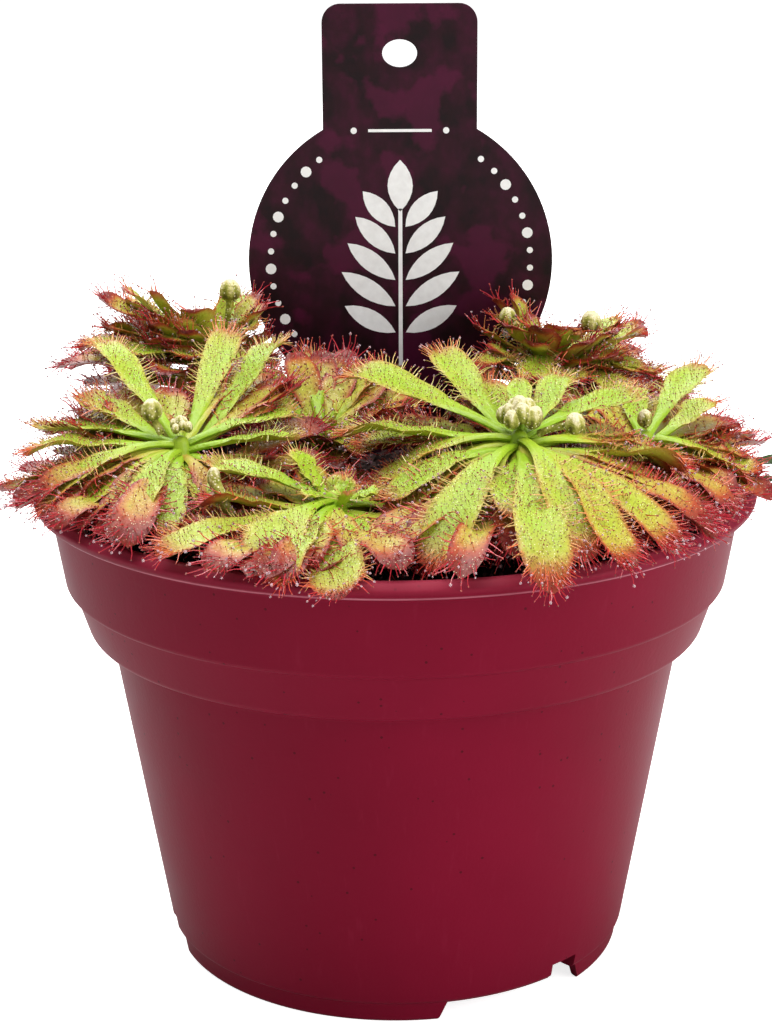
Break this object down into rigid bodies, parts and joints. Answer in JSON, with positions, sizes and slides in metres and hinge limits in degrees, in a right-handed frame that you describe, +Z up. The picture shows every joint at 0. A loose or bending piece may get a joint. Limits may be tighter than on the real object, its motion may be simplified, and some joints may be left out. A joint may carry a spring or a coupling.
{
  "type": "potted sundew",
  "caption": "Carnivorous sundew with rosettes of sticky spoon-shaped leaves, growing in peat in a round plastic nursery pot with an upright plant tag.",
  "frame": {"origin": "centre of the bounding box's bottom, which is the pot's axis at the floor within 1 mm", "axes": "+Z up along the pot's axis, -Y towards the front of the plant, +X to the plant's right as seen in the picture"},
  "size_m": [0.1334, 0.1334, 0.1561],
  "materials": {
    "pot_plastic": "semi-matte burgundy",
    "peat": "rough damp peat",
    "tag_plastic": "printed satin",
    "leaf_green": "waxy leaf",
    "weed_green": "waxy leaf",
    "bud_cream": "soft bud"
  },
  "bodies": {
    "root": {"pot": "pot_plastic", "soil": "peat", "tag": "tag_plastic", "weed_sprig": "weed_green", "rosette_right": "leaf_green", "rosette_left": "leaf_green", "rosette_front": "leaf_green", "rosette_edge": "leaf_green", "rosette_back_right": "leaf_green", "rosette_back_left": "leaf_green", "rosette_back": "leaf_green", "rosette_middle": "leaf_green", "buds_right": "bud_cream", "buds_left": "bud_cream", "buds_edge": "bud_cream", "scape_right": "bud_cream", "scape_left": "bud_cream", "scape_back_right": "bud_cream", "scape_back_edge": "bud_cream", "scape_back_left": "bud_cream"}
  },
  "joints": []
}
